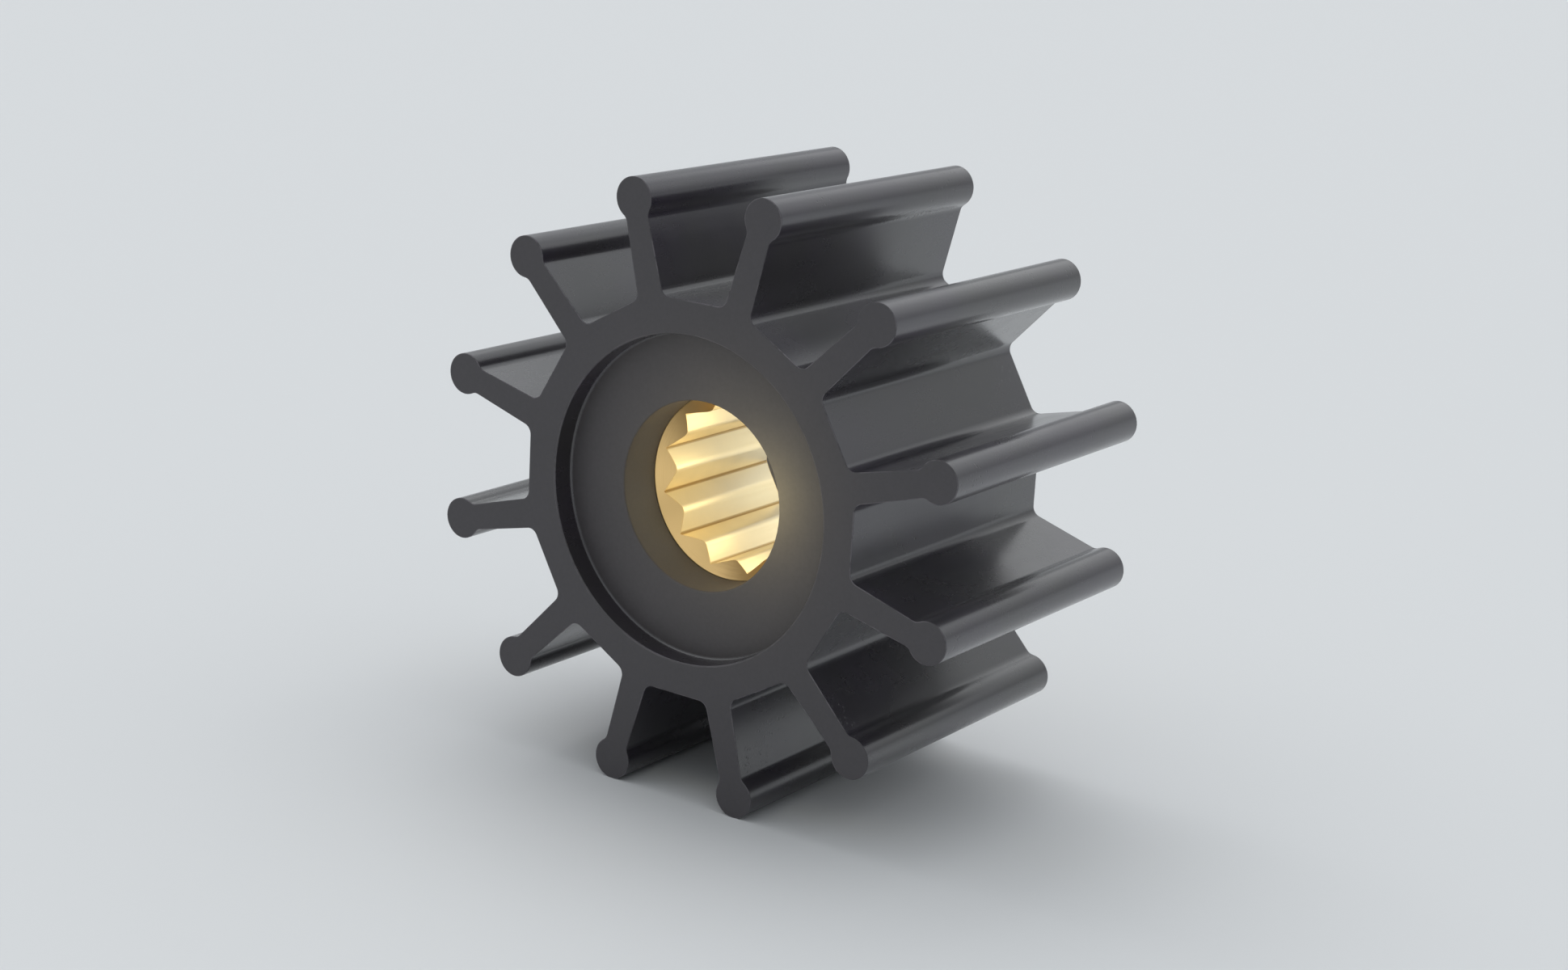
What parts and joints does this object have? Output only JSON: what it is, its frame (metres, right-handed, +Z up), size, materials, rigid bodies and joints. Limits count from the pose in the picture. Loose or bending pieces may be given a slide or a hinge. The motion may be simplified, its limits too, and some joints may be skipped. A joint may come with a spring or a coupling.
{
  "type": "rubber pump impeller",
  "caption": "Flexible pump impeller: straight rubber vanes with round beads on a flat-sided hub, moulded round a brass insert with a splined bore for the shaft.",
  "frame": {"origin": "on the shaft axis, at the impeller's mid-length", "axes": "+Y along the shaft axis, from the end seen in the picture to the far end; +Z up, with the impeller resting on its two lowest vanes; +X to the right seen from the near end"},
  "size_m": [0.1162, 0.0636, 0.1162],
  "materials": {
    "black_rubber": "matt moulded neoprene with a faint sheen on the beads",
    "brass": "bright machined brass"
  },
  "bodies": {
    "root": {"rubber_body": "black_rubber", "splined_insert": "brass"}
  },
  "joints": []
}
